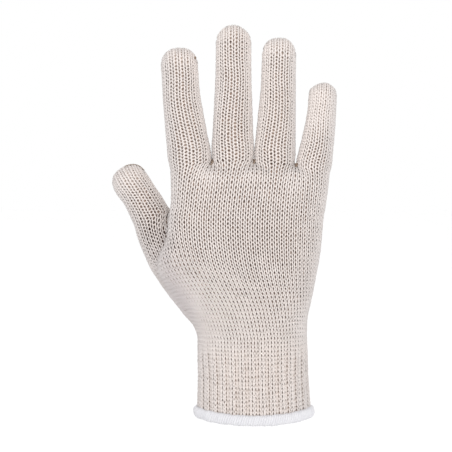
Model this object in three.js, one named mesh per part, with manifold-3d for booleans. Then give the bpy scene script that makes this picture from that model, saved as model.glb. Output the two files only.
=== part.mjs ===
// A knitted cotton work glove, worn shape, back of the right hand towards -Y, fingers up.
// Millimetres, +Z up. The origin is the middle of the wrist opening, where the arm comes out.
// Every piece is a hollow knitted wall: four finger stalls, a thumb stall, the hand, a ribbed cuff,
// and the white overlocked hem at its mouth.
import * as THREE from "three";
import { mergeVertices } from "three/addons/utils/BufferGeometryUtils.js";
import Module from "manifold-3d";

const wasm = await Module();
wasm.setup();

// Driving dimensions
const wall = 2.0; // thickness of the knitted fabric
const pieceGap = 0.3; // clearance between neighbouring pieces
const hemHeight = 6.0;
const hemThickness = 5.0;
const hemSag = 2.2; // how far the hem dips at the front and back of the wrist
const hemWidth = 71.6; // across the middle of the hem's roll
const hemDepth = 50.4;
const cuffHeight = 43.7;
const cuffWaistWidth = 67.4; // the narrowest place of the ribbed cuff
const cuffWaistDepth = 46.4;
const ribCount = 30;
const ribRelief = 0.9; // from a rib's crest to the groove beside it
const wristWidth = 68.4;
const wristDepth = 47.0;
const palmHeight = 106; // from the top of the cuff to the knuckle line
const palmWidth = 95;
const palmDepth = 34;
const thumbWidth = 24.4;
const thumbDepth = 21.5;
const thumbReach = 57.5; // sideways, from its root inside the hand to its tip
const thumbRise = 96;
const thumbOffset = 13; // how far the thumb's tip stands out on the palm side
const thumbRootHeight = 9; // above the cuff
const thumbRootAcross = -0.288; // share of the palm's width
const fingerLength = 84; // the middle finger's free length
const fingerWidth = 25.2;
const fingerDepth = 21;
const fingerLean = 7.2; // sideways, from root to tip
const fingerCurl = 8; // towards the palm, from root to tip

// The four fingers. across: share of the palm's width; crotch, above the knuckle line, and long: shares of
// the finger length; the rest: shares of the finger's width, depth, lean and curl
const fingerShares = [
  { name: "index", across: -0.414, crotch: 0.004, long: 0.864, wide: 1.032, deep: 1, lean: -1, curl: 0.88 },
  { name: "middle", across: -0.14, crotch: 0.036, long: 1, wide: 1, deep: 1, lean: 0.08, curl: 1 },
  { name: "ring", across: 0.134, crotch: 0.014, long: 0.928, wide: 0.976, deep: 0.952, lean: 0.44, curl: 1 },
  { name: "little", across: 0.39, crotch: -0.026, long: 0.64, wide: 0.84, deep: 0.838, lean: 0.86, curl: 0.75 },
];
const fingerSizes = fingerShares.map((f) => ({
  name: f.name,
  across: f.across * palmWidth,
  crotch: f.crotch * fingerLength,
  length: f.long * fingerLength,
  width: f.wide * fingerWidth,
  depth: f.deep * fingerDepth,
  lean: f.lean * fingerLean,
  curl: f.curl * fingerCurl,
}));

// The hand's sections. up: share of its height; flare: from the wrist's width, 0, to the palm's, 1;
// thin: the same for depth; shift: share of the palm's width
const handSections = [
  { up: 0.0, flare: 0.0, thin: 0.0, shift: -0.012 },
  { up: 0.107, flare: 0.16, thin: 0.1, shift: -0.036 },
  { up: 0.213, flare: 0.48, thin: 0.3, shift: -0.056 },
  { up: 0.318, flare: 0.74, thin: 0.55, shift: -0.065 },
  { up: 0.458, flare: 0.92, thin: 0.8, shift: -0.059 },
  { up: 0.634, flare: 0.99, thin: 1.0, shift: -0.049 },
  { up: 0.774, flare: 1.0, thin: 1.15, shift: -0.04 },
  { up: 0.88, flare: 1.0, thin: 1.42, shift: -0.03 },
  { up: 0.95, flare: 0.9, thin: 1.75, shift: -0.028 },
  { up: 0.985, flare: 0.8, thin: 2.0, shift: -0.028 },
];
const handSquareness = 2.3; // exponent of the flattened oval section

// A finger's sections. along: share of its free length; wide and deep: shares of its width and depth;
// lean and curl: shares of those offsets
const fingerSections = [
  { along: -0.5, wide: 0.74, deep: 0.78, lean: -0.26, curl: 0.0 },
  { along: -0.22, wide: 0.93, deep: 0.96, lean: -0.14, curl: 0.0 },
  { along: 0.0, wide: 1.0, deep: 1.0, lean: 0.0, curl: 0.02 },
  { along: 0.2, wide: 0.99, deep: 1.0, lean: 0.28, curl: 0.1 },
  { along: 0.4, wide: 0.945, deep: 0.97, lean: 0.56, curl: 0.26 },
  { along: 0.6, wide: 0.895, deep: 0.93, lean: 0.8, curl: 0.47 },
  { along: 0.84, wide: 0.885, deep: 0.88, lean: 0.97, curl: 0.79 },
];
// The rings of a rounded tip, in shares of a quarter turn, and how fully it swells
const tipDome = { turns: [0.3, 0.56, 0.78, 0.94], roundness: 0.95 };

// The thumb's sections, from its root inside the hand. out, up and behind: shares of reach, rise and offset
const thumbSections = [
  { out: 0.0, up: 0.0, behind: 0.16, wide: 0.85, deep: 1.0 },
  { out: 0.284, up: 0.252, behind: 0.3, wide: 1.07, deep: 1.22 },
  { out: 0.435, up: 0.414, behind: 0.48, wide: 1.2, deep: 1.22 },
  { out: 0.567, up: 0.57, behind: 0.62, wide: 1.15, deep: 1.14 },
  { out: 0.686, up: 0.717, behind: 0.72, wide: 1.0, deep: 1.04 },
  { out: 0.795, up: 0.828, behind: 0.82, wide: 0.945, deep: 0.98 },
  { out: 0.885, up: 0.904, behind: 0.92, wide: 0.9, deep: 0.93 },
];
const thumbCut = { section: 4, before: 0.35 }; // the stall starts this share of a step before that section

// The cuff's sections. up: share of its height; open: from its waist, 0, to its mouth, 1;
// rib: share of the relief
const cuffSections = [
  { up: 0.0, open: 1.0, rib: 0.6 },
  { up: 0.12, open: 0.8, rib: 1.0 },
  { up: 0.45, open: 0.1, rib: 1.0 },
  { up: 0.8, open: 0.0, rib: 0.85 },
  { up: 1.0, open: 0.0, rib: 0.15 },
];

const ribProfile = [0.5, 0, -0.5, 0]; // shares of the relief at a crest, a flank, a groove and a flank
const hemBoxiness = 0.8; // 1 is a round roll, less is squarer

// How finely the surfaces are faceted
const fingerSides = 20;
const handSides = 44;
const cuffSides = ribCount * ribProfile.length;
const hemSteps = 60;
const hemSides = 8;
const ovalSteps = 720;

// Heights that the pieces share
const cuffBase = hemHeight + pieceGap;
const cuffTop = cuffBase + cuffHeight;
const handBase = cuffTop + pieceGap;
const knuckleHeight = handBase + palmHeight;
const mouthWidth = hemWidth - hemThickness / 2 + wall / 2;
const mouthDepth = hemDepth - hemThickness / 2 + wall / 2;

const mix = THREE.MathUtils.lerp;
const upAxis = new THREE.Vector3(0, 0, 1);
const depthAxis = new THREE.Vector3(0, 1, 0);
const towards = (v, power) => Math.sign(v) * Math.abs(v) ** power;

// Points at equal steps round a flattened oval, from +X towards +Y, as [across, through] pairs.
function evenOval(halfWidth, halfDepth, squareness, count) {
  const trace = Array.from({ length: ovalSteps + 1 }, (_, i) => {
    const turn = (i / ovalSteps) * 2 * Math.PI;
    const across = halfWidth * towards(Math.cos(turn), 2 / squareness);
    return new THREE.Vector2(across, halfDepth * towards(Math.sin(turn), 2 / squareness));
  });
  const run = [0];
  for (let i = 1; i <= ovalSteps; i++) run.push(run[i - 1] + trace[i].distanceTo(trace[i - 1]));
  let at = 0;
  return Array.from({ length: count }, (_, k) => {
    const target = (run[ovalSteps] * k) / count;
    while (run[at + 1] < target) at += 1;
    const share = (target - run[at]) / (run[at + 1] - run[at]);
    return trace[at].clone().lerp(trace[at + 1], share);
  });
}

// One ring of points: an oval across the given direction of travel.
function ring({ centre, travel, halfWidth, halfDepth, squareness = 2, sides }) {
  const across = new THREE.Vector3().crossVectors(depthAxis, travel).normalize();
  const through = new THREE.Vector3().crossVectors(travel, across).normalize();
  return evenOval(halfWidth, halfDepth, squareness, sides).map((p) =>
    centre.clone().addScaledVector(across, p.x).addScaledVector(through, p.y),
  );
}

// A closed body lofted through rings that go upwards, each the same number of points.
function loft(rings) {
  const sides = rings[0].length;
  const points = rings.flat();
  const middle = (r) => r.reduce((s, p) => s.add(p), new THREE.Vector3()).divideScalar(r.length);
  const low = points.push(middle(rings[0])) - 1;
  const high = points.push(middle(rings.at(-1))) - 1;
  const faces = [];
  for (let k = 0; k < sides; k++) {
    const next = (k + 1) % sides;
    for (let r = 0; r + 1 < rings.length; r++) {
      const [a, b] = [r * sides + k, r * sides + next];
      faces.push(a, b, b + sides, a, b + sides, a + sides);
    }
    const last = (rings.length - 1) * sides;
    faces.push(low, next, k, high, last + k, last + next);
  }
  return bufferOf(points, faces);
}

function bufferOf(points, faces) {
  const geometry = new THREE.BufferGeometry().setFromPoints(points);
  geometry.setIndex(faces);
  return geometry;
}

function solidOf(geometry) {
  const bare = geometry.clone();
  bare.deleteAttribute("normal");
  bare.deleteAttribute("uv");
  const merged = mergeVertices(bare, 1e-4);
  return new wasm.Manifold(
    new wasm.Mesh({
      numProp: 3,
      vertProperties: merged.attributes.position.array,
      triVerts: new Uint32Array(merged.index.array),
    }),
  );
}

function geometryOf(solid) {
  const mesh = solid.getMesh();
  const geometry = new THREE.BufferGeometry();
  geometry.setAttribute("position", new THREE.BufferAttribute(new Float32Array(mesh.vertProperties), 3));
  geometry.setIndex([...mesh.triVerts]);
  geometry.computeVertexNormals();
  return geometry;
}

const joined = (solids) => solids.reduce((all, s) => all.add(s));

// A space on one side of a plane: everything ahead of the point in the given direction.
function spaceAhead(point, direction) {
  const size = 4 * (palmHeight + palmWidth); // well past the whole glove
  const box = new THREE.BoxGeometry(size, size, size).translate(0, 0, size / 2);
  const turn = new THREE.Quaternion().setFromUnitVectors(upAxis, direction);
  return solidOf(box.applyQuaternion(turn).translate(point.x, point.y, point.z));
}

// A tapering stall with a rounded end. Its skin lies `inset` inside the outer surface.
function stallSolid({ stations, tipHeight }, inset) {
  const path = stations.map((s) => s.centre);
  const rings = stations.map((s, i) => {
    const ahead = path[Math.min(i + 1, path.length - 1)];
    const travel = ahead.clone().sub(path[Math.max(i - 1, 0)]).normalize();
    return ring({
      centre: s.centre,
      travel,
      halfWidth: s.halfWidth - inset,
      halfDepth: s.halfDepth - inset,
      sides: fingerSides,
    });
  });
  const last = stations.at(-1);
  const travel = last.centre.clone().sub(stations.at(-2).centre).normalize();
  for (const turn of tipDome.turns) {
    const angle = (turn * Math.PI) / 2;
    const shrink = Math.cos(angle) ** tipDome.roundness;
    rings.push(
      ring({
        centre: last.centre.clone().addScaledVector(travel, Math.sin(angle) * (tipHeight - inset)),
        travel,
        halfWidth: (last.halfWidth - inset) * shrink,
        halfDepth: (last.halfDepth - inset) * shrink,
        sides: fingerSides,
      }),
    );
  }
  return solidOf(loft(rings));
}

// Each finger's stations, in the glove's frame, from its named sizes.
function fingerStations(f) {
  const rootZ = knuckleHeight + f.crotch;
  return fingerSections.map((s) => ({
    centre: new THREE.Vector3(f.across + s.lean * f.lean, s.curl * f.curl, rootZ + s.along * f.length),
    halfWidth: (s.wide * f.width) / 2,
    halfDepth: (s.deep * f.depth) / 2,
  }));
}

// A place in the thumb, from shares of its reach, its rise and its offset.
function thumbPlace({ out, up, behind }) {
  const x = thumbRootAcross * palmWidth - out * thumbReach;
  return new THREE.Vector3(x, behind * thumbOffset, handBase + thumbRootHeight + up * thumbRise);
}

function thumbStations() {
  return thumbSections.map((s) => ({
    centre: thumbPlace(s),
    halfWidth: (s.wide * thumbWidth) / 2,
    halfDepth: (s.deep * thumbDepth) / 2,
  }));
}

// The hand without its fingers. The hollow one runs on past the cuff, so that it cuts right through.
function handSolid(inset) {
  const rings = handSections.map((s) =>
    ring({
      centre: new THREE.Vector3(s.shift * palmWidth, 0, handBase + s.up * (palmHeight - inset)),
      travel: upAxis,
      halfWidth: mix(wristWidth, palmWidth, s.flare) / 2 - inset,
      halfDepth: mix(wristDepth, palmDepth, s.thin) / 2 - inset,
      squareness: handSquareness,
      sides: handSides,
    }),
  );
  if (inset > 0) rings.unshift(rings[0].map((p) => p.clone().setZ(p.z - wall)));
  return solidOf(loft(rings));
}

// How far the hem, and the cuff's edge above it, dips at a place round the wrist.
const hemDip = (p, halfDepth) => -hemSag * Math.min(1, (p.y / halfDepth) ** 2);

// The ribbed cuff: an outer wall with crests and grooves, and a smooth hollow.
function cuffSolid() {
  const wallRings = (inset, ribs) =>
    cuffSections.map((s) => {
      const shift = handSections[0].shift * palmWidth * s.up;
      const halfWidth = mix(mix(cuffWaistWidth, wristWidth, s.up), mouthWidth, s.open) / 2 - inset;
      const halfDepth = mix(mix(cuffWaistDepth, wristDepth, s.up), mouthDepth, s.open) / 2 - inset;
      const points = ring({
        centre: new THREE.Vector3(shift, 0, 0),
        travel: upAxis,
        halfWidth,
        halfDepth,
        squareness: mix(2, handSquareness, s.up),
        sides: ribs ? cuffSides : handSides,
      });
      return points.map((p, k) => {
        const outward = new THREE.Vector3(p.x - shift, p.y, 0).normalize();
        const relief = ribs ? ribProfile[k % ribProfile.length] * ribRelief * s.rib : 0;
        const height = cuffBase + s.up * cuffHeight + hemDip(p, halfDepth) * (1 - s.up);
        return p.clone().addScaledVector(outward, relief).setZ(height);
      });
    });
  const hollow = wallRings(wall, false);
  const ends = [
    hollow[0].map((p) => p.clone().setZ(p.z - wall)),
    ...hollow,
    hollow.at(-1).map((p) => p.clone().setZ(p.z + wall)),
  ];
  return solidOf(loft(wallRings(0, true))).subtract(solidOf(loft(ends)));
}

// The overlocked hem: a soft roll of white thread round the cuff's mouth.
function hemSolid() {
  const line = ring({
    centre: new THREE.Vector3(),
    travel: upAxis,
    halfWidth: (hemWidth - hemThickness / 2) / 2 + wall / 4,
    halfDepth: (hemDepth - hemThickness / 2) / 2 + wall / 4,
    sides: hemSteps,
  });
  const points = [];
  const faces = [];
  line.forEach((p, k) => {
    const outward = new THREE.Vector3(p.x / hemWidth ** 2, p.y / hemDepth ** 2, 0).normalize();
    for (let s = 0; s < hemSides; s++) {
      const turn = ((s + 0.5) / hemSides) * 2 * Math.PI;
      const out = (towards(Math.cos(turn), hemBoxiness) * hemThickness) / 2;
      const up = (towards(Math.sin(turn), hemBoxiness) * hemHeight) / 2;
      const height = hemHeight / 2 + up + hemDip(p, hemDepth / 2);
      points.push(p.clone().addScaledVector(outward, out).setZ(height));
      const next = ((k + 1) % hemSteps) * hemSides;
      const [a, b] = [k * hemSides + s, k * hemSides + ((s + 1) % hemSides)];
      const [c, d] = [next + ((s + 1) % hemSides), next + s];
      faces.push(a, c, b, a, d, c);
    }
  });
  return solidOf(bufferOf(points, faces));
}

// Each finger with the level plane that parts its stall from the hand, just above the crotches beside it.
const fingers = fingerSizes.map((f, i) => {
  const crotches = fingerSizes.slice(Math.max(0, i - 1), i + 2).map((near) => near.crotch);
  return {
    name: `${f.name}_stall`,
    stations: fingerStations(f),
    tipHeight: f.length * (1 - fingerSections.at(-1).along),
    cutPoint: new THREE.Vector3(0, 0, knuckleHeight + Math.max(...crotches) + wall),
    cutWay: upAxis,
  };
});

// The thumb, parted from the hand by a plane square to its own length.
function thumbStall() {
  const stations = thumbStations();
  const after = stations[thumbCut.section].centre;
  const before = stations[thumbCut.section - 1].centre;
  return {
    name: "thumb_stall",
    stations,
    tipHeight: stations.at(-1).centre.distanceTo(thumbPlace({ out: 1, up: 1, behind: 1 })),
    cutPoint: after.clone().lerp(before, thumbCut.before),
    cutWay: after.clone().sub(before).normalize(),
  };
}

const stalls = [...fingers, thumbStall()];
const outers = stalls.map((stall) => stallSolid(stall, 0));
const rooms = stalls.map((stall) => stallSolid(stall, -pieceGap)); // each with its clearance
const hollow = joined([handSolid(wall), ...stalls.map((stall) => stallSolid(stall, wall))]);

const stallBodies = stalls.map((stall, i) => {
  const free = outers[i].intersect(spaceAhead(stall.cutPoint, stall.cutWay));
  return [...rooms.slice(0, i), hollow].reduce((body, other) => body.subtract(other), free);
});

const handRooms = stalls.map((stall, i) => {
  const from = stall.cutPoint.clone().addScaledVector(stall.cutWay, -pieceGap);
  return rooms[i].intersect(spaceAhead(from, stall.cutWay));
});
const hand = joined([handSolid(0), ...outers]).subtract(hollow).subtract(joined(handRooms));

const cotton = () => new THREE.MeshStandardMaterial({ color: 0xe0d8d1, roughness: 0.95, metalness: 0 });
const hemThread = new THREE.MeshStandardMaterial({ color: 0xe9e9ee, roughness: 0.9, metalness: 0 });

const glove = new THREE.Group();
function add(name, solid, material) {
  const mesh = new THREE.Mesh(geometryOf(solid), material);
  mesh.name = name;
  glove.add(mesh);
}

add("hand", hand, cotton());
stalls.forEach((stall, i) => add(stall.name, stallBodies[i], cotton()));
add("rib_cuff", cuffSolid(), cotton());
add("overlock_hem", hemSolid(), hemThread);

export default glove;
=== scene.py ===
# A knitted cotton work glove, held up as a hand wears it, back of the right hand towards -Y, fingers up.
# Its form is worked out in millimetres from the part's own sizes, and every stitch of the knit is a
# loop of real yarn laid on that form. Meshes are turned to metres only when they are made.
import bpy
import math
import mathutils
import numpy as np
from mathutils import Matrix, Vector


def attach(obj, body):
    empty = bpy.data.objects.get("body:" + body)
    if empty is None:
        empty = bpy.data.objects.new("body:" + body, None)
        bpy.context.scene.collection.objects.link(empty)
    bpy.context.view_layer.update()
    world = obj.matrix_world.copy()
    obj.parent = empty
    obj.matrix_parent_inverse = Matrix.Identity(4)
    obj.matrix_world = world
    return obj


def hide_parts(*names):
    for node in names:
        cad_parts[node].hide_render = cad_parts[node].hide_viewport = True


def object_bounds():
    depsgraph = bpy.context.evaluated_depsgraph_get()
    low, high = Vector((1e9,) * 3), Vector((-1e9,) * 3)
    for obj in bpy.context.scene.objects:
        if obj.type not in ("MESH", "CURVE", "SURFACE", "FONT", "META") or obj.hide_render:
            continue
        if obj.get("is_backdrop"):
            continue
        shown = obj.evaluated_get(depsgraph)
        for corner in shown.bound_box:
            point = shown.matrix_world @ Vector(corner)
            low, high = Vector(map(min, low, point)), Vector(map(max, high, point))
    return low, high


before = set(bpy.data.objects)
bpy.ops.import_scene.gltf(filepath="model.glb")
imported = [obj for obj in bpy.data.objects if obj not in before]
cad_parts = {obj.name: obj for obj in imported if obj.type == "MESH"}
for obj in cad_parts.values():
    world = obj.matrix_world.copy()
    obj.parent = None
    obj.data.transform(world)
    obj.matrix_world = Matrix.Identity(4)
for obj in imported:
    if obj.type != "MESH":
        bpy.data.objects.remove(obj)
cadBox = [list(corner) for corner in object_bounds()]
scene = bpy.context.scene
metre = 0.001
dice = np.random.default_rng(7)

# The glove's sizes, in millimetres, as the part's source has them
glove = {
    "wall": 2.0,
    "gap": 0.3,
    "hemHeight": 6.0,
    "hemThickness": 5.0,
    "hemSag": 2.2,
    "hemWidth": 71.6,
    "hemDepth": 50.4,
    "cuffHeight": 43.7,
    "cuffWaist": (67.4, 46.4),
    "wrist": (68.4, 47.0),
    "palm": (95.0, 34.0),
    "palmHeight": 106.0,
    "squareness": 2.3,
}
cuffBase = glove["hemHeight"] + glove["gap"]
cuffTop = cuffBase + glove["cuffHeight"]
handBase = cuffTop + glove["gap"]
knuckleHeight = handBase + glove["palmHeight"]

handSections = {
    "up": [0, 0.107, 0.213, 0.318, 0.458, 0.634, 0.774, 0.88, 1.0],
    "flare": [0, 0.16, 0.48, 0.74, 0.92, 0.99, 1.0, 1.0, 0.96],
    "thin": [0, 0.1, 0.3, 0.55, 0.8, 1.0, 1.15, 1.35, 1.55],
    "shift": [-0.012, -0.029, -0.048, -0.062, -0.059, -0.049, -0.04, -0.03, -0.028],
}
thumbFold = {  # the palm's edge lies over the thumb's root: how far out and how far forward, by height
    "height": [60, 68, 76, 84, 92, 98, 103, 108, 114, 122, 131],
    "out": [0, 0.6, 3.0, 6.0, 8.0, 7.2, 5.2, 3.0, 1.6, 1.2, 0.4],
    "forward": [0, 0, 0.8, 3.2, 6.0, 7.4, 8.0, 8.0, 7.6, 6.0, 2.0],
}
cuffSections = {
    "up": [0, 0.12, 0.45, 0.8, 1],
    "open": [1.0, 0.8, 0.1, 0, 0],
}
# across is a share of the palm's width, crotch its height beside the knuckles'; lean and curl are how far
# the tip stands aside and forward, closing the courses that close it, sway where its wales' wander begins
fingerTraits = ("across", "crotch", "length", "size", "lean", "curl", "closing", "sway", "taper")
fingerTable = {
    "index": (-0.414, 0.3, 72.6, (26, 21), -7.2, 7, 10, 0.4, 0),
    "middle": (-0.14, 3.0, 84, (25.5, 21), 0.6, 8, 9, 2.9, 0.015),
    "ring": (0.131, 1.2, 78, (25.0, 20), 3.2, 8, 9, 4.4, 0.035),
    "little": (0.386, -2.2, 53.0, (21.2, 17.6), 6.2, 6, 22, 5.6, 0.07),
}
fingers = {name: dict(zip(fingerTraits, traits)) for name, traits in fingerTable.items()}
fingerSections = {
    "along": [-0.5, -0.22, 0, 0.07, 0.2, 0.4, 0.6, 0.84],
    "wide": [0.74, 0.93, 1.015, 1.04, 1.0, 0.945, 0.895, 0.885],
    "deep": [0.78, 0.96, 1, 1.01, 1, 0.97, 0.93, 0.88],
    "lean": [-0.26, -0.14, 0, 0.09, 0.28, 0.56, 0.8, 0.97],
    "curl": [0, 0, 0.02, 0.05, 0.1, 0.26, 0.47, 0.79],
}
thumb = {
    "size": (24.4, 21.5),
    "reach": 56.2,
    "rise": 94.8,
    "offset": 13,
    "rootHeight": 9,
    "rootAcross": -0.288,
    "crotchAlong": 0.636,  # where its free part starts, as a share of its whole length
    "footAlong": -0.05,  # where its stitches would start if it ran down to the cuff
    "closing": 13,
}
thumbSections = {
    "out": [0, 0.284, 0.435, 0.567, 0.686, 0.795, 0.885],
    "up": [0, 0.252, 0.414, 0.57, 0.717, 0.828, 0.904],
    "behind": [0.16, 0.3, 0.48, 0.62, 0.72, 0.82, 0.92],
    "wide": [0.85, 1.07, 1.2, 1.15, 0.99, 0.935, 0.94],
    "deep": [1.0, 1.22, 1.22, 1.14, 1.04, 0.98, 0.93],
}
tipFullness = 2.2  # exponent of a rounded tip: 2 is an ellipse, more is blunter

# The knit: how many wales (columns of stitches) and how tall a course (row of stitches) is
knit = {
    "fingerWales": 18,
    "cuffCourse": 2.43,
    "palmCourse": 2.44,
    "fingerCourse": 2.05,
    "tipCourses": 8,
    "fan": 26.0,  # height below a crotch over which its wales open out
    "capHeight": 9.0,  # roundness of the web between two fingers, and how far it stands above the knuckles
    "capLift": 1.0,
    "thumbCrotchHeight": 127.0,
    "thumbBlend": 1.6,  # how softly the thumb and the fingers run into the palm
    "fingerBlend": 3.5,
    "wander": 4.0,  # how far, in degrees, the wales of a finger wander round it
    "waver": (0.45, 1.6),  # how far a course strays from level, in millimetres, and how quickly
    "heelCourses": 16,  # the hand's courses that are the heel's own piece
    "rowsAbove": 60,  # rows of the grid above the crotches, enough for the longest finger
    "evenings": 60,  # rounds in which the hand's stitches are evened out
}


def mix(a, b, share):
    return a + (b - a) * share


def ease(share):
    share = np.clip(share, 0, 1)
    return share * share * (3 - 2 * share)


def through(at, keys, values):
    # A smooth curve through a table's rows: cubic Hermite, each slope taken from the rows beside it.
    keys, values = np.array(keys, float), np.array(values, float)
    slopes = np.gradient(values, keys)
    i = np.clip(np.searchsorted(keys, at) - 1, 0, len(keys) - 2)
    step = keys[i + 1] - keys[i]
    t = np.clip((at - keys[i]) / step, 0, 1)
    rise = (1 - t) ** 2 * (1 + 2 * t) * values[i] + t**2 * (3 - 2 * t) * values[i + 1]
    return rise + step * (t * (1 - t) ** 2 * slopes[i] - t**2 * (1 - t) * slopes[i + 1])


def readTable(table, at, *names):
    # Several curves of a table at once. Its first row holds the keys.
    keys = next(iter(table.values()))
    return [through(at, keys, table[name]) for name in names]


def signedPower(value, power):
    return np.sign(value) * np.abs(value) ** power


def unit(vectors):
    return vectors / np.linalg.norm(vectors, axis=-1, keepdims=True)


# The glove's bodies. Each is a function that is 1 on the body's surface, less inside and more outside.
def palmSize(height):
    # How far the palm stands aside at a height, and half its width and depth.
    up = (height - handBase) / glove["palmHeight"]
    flare, thin, shift = readTable(handSections, up, "flare", "thin", "shift")
    wide, deep = [mix(glove["wrist"][k], glove["palm"][k], (flare, thin)[k]) / 2 for k in (0, 1)]
    return shift * glove["palm"][0], wide, deep


def foldOver(x, height, wide):
    # How far the palm's left half is drawn out at a height, and how far its edge is drawn forward.
    out, forward = readTable(thumbFold, height, "out", "forward")
    return np.where(x < 0, wide + out, wide), forward * ease(-x / wide * 2.2 - 1.2)


def palmBody(p):
    # A superelliptic tube whose depth closes over the top in a quarter circle, between the fingers.
    shift, wide, deep = palmSize(p[..., 2])
    capFrom = knuckleHeight + knit["capLift"] - knit["capHeight"]
    over = np.clip((p[..., 2] - capFrom) / knit["capHeight"], 0, None)
    wide, forward = foldOver(p[..., 0] - shift, p[..., 2], wide)
    side = np.abs((p[..., 0] - shift) / wide)
    front = np.hypot((p[..., 1] + forward) / deep, over)
    return (side ** glove["squareness"] + front ** glove["squareness"]) ** (1 / glove["squareness"])


def stallBody(along, bottom, top, across, deepwards):
    # An elliptic tube with a rounded tip above top. across and deepwards are shares of its half sizes.
    over = np.clip((along - top) / (1 - top), 0, None)
    under = np.clip(bottom - along, 0, None)
    return (np.hypot(across, deepwards) ** tipFullness + over**tipFullness) ** (1 / tipFullness) + under * 4


def fingerPlace(f, height):
    # How far along a finger a height is, and there its middle's x and y and half its width and depth.
    along = (height - knuckleHeight - f["crotch"]) / f["length"]
    lean, curl, wide, deep = readTable(fingerSections, along, "lean", "curl", "wide", "deep")
    x = f["across"] * glove["palm"][0] + f["lean"] * lean
    wide = wide * (1 - f["taper"] * ease(along)) * f["size"][0] / 2
    return along, x, f["curl"] * curl, wide, deep * f["size"][1] / 2


def fingerBody(f):
    bottom, top = fingerSections["along"][0], fingerSections["along"][-1]

    def body(p):
        along, x, y, wide, deep = fingerPlace(f, p[..., 2])
        return stallBody(along, bottom, top, (p[..., 0] - x) / wide, (p[..., 1] - y) / deep)

    return body


# The thumb's own frame: its straight line from root to tip, and its path's places beside that line
thumbRoot = np.array([thumb["rootAcross"] * glove["palm"][0], 0, handBase + thumb["rootHeight"]])
thumbSpan = np.array([-thumb["reach"], thumb["offset"], thumb["rise"]])
thumbPoints = thumbRoot + thumbSpan * np.stack([thumbSections[k] for k in ("out", "behind", "up")], -1)
thumbStart = thumbPoints[0]
thumbLength = np.linalg.norm(thumbRoot + thumbSpan - thumbStart)
thumbWay = (thumbRoot + thumbSpan - thumbStart) / thumbLength
thumbAcross = np.cross([0, 1, 0], thumbWay)
thumbAcross /= np.linalg.norm(thumbAcross)
thumbThrough = np.cross(thumbWay, thumbAcross)
thumbSteps = thumbPoints - thumbStart
thumbTable = {
    "along": thumbSteps @ thumbWay / thumbLength,
    "x": thumbSteps @ thumbAcross,
    "y": thumbSteps @ thumbThrough,
    "wide": thumbSections["wide"],
    "deep": thumbSections["deep"],
}
thumbTop = thumbTable["along"][-1]


def thumbPlace(along):
    x, y, wide, deep = readTable(thumbTable, along, "x", "y", "wide", "deep")
    return x, y, wide * thumb["size"][0] / 2, deep * thumb["size"][1] / 2


def thumbBody(p):
    local = p - thumbStart
    along = local @ thumbWay / thumbLength
    x, y, wide, deep = thumbPlace(along)
    return stallBody(along, 0, thumbTop, (local @ thumbAcross - x) / wide, (local @ thumbThrough - y) / deep)


def slopeOf(field, p, step=0.05):
    here = field(p)
    return np.stack([(field(p + shift) - here) / step for shift in np.eye(3) * step], -1)


def distanceTo(body):
    # A body's first-order distance in millimetres: how far its function is from 1, over its slope.
    return lambda p: (body(p) - 1) / np.maximum(np.linalg.norm(slopeOf(body, p), axis=-1), 1e-3)


def blendOf(first, second, radius):
    # The union of two bodies, rounded where they meet: a smooth minimum of their distances.
    def blended(p):
        a, b = first(p), second(p)
        share = np.clip(0.5 + 0.5 * (b - a) / radius, 0, 1)
        return mix(b, a, share) - radius * share * (1 - share)

    return blended


def seat(points, field, rounds=5):
    # Moves points onto the surface where the field is nothing, along its slope, by 6 mm a round at most.
    for _ in range(rounds):
        slope = slopeOf(field, points)
        size = np.maximum((slope**2).sum(-1), 0.2)
        points = points - np.clip(field(points) / size, -6, 6)[..., None] * slope
    return points


# The knit's grid: one row for each course, from the hem up, and one column for each of the 90 wales.
# Columns go round from the thumb's outer edge over the front: thumb 9, fingers 4 x 9, then back again.
half = knit["fingerWales"] // 2
waleCount = 5 * knit["fingerWales"]
palmColumns = np.arange(half, waleCount - half)
thumbColumns = np.r_[0:half, waleCount - half : waleCount]
fingerColumns = [
    np.r_[half * (k + 1) : half * (k + 2), half * (8 - k) : half * (9 - k)] for k in range(len(fingers))
]
spare = 2  # rows beyond each end, which only bend the stitches next to them
cuffRows = round(glove["cuffHeight"] / knit["cuffCourse"]) + 1  # the first of them lies inside the hem
heelRows = round((knit["thumbCrotchHeight"] - handBase) / knit["palmCourse"])
palmRows = round((knuckleHeight - knit["thumbCrotchHeight"]) / knit["palmCourse"])
firstHandRow = spare + cuffRows
thumbRow = firstHandRow + heelRows  # the first row above the thumb's crotch, and above the fingers' crotches
fingerRow = thumbRow + palmRows


def ringShares(columns, opened):
    # Shares of the outline from its left edge over the front: opened 0 is all 90 wales, 1 the palm's 72.
    return mix((columns + 0.5) / waleCount, (columns - half + 0.5) / len(palmColumns), opened)


def oval(shift, wide, deep, squareness, shares, out=0):
    # Points at shares of a superellipse's length, from its left edge over the front (-Y) and round.
    turn = np.linspace(0, 2 * np.pi, 721)
    x = -signedPower(np.cos(turn), 2 / squareness)
    x = x * np.where(x < 0, wide + out, wide)
    y = -deep * signedPower(np.sin(turn), 2 / squareness)
    steps = np.hypot(np.diff(x), np.diff(y))
    run = np.r_[0, np.cumsum(steps)] / steps.sum()
    return shift + np.interp(shares, run, x), np.interp(shares, run, y)


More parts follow.
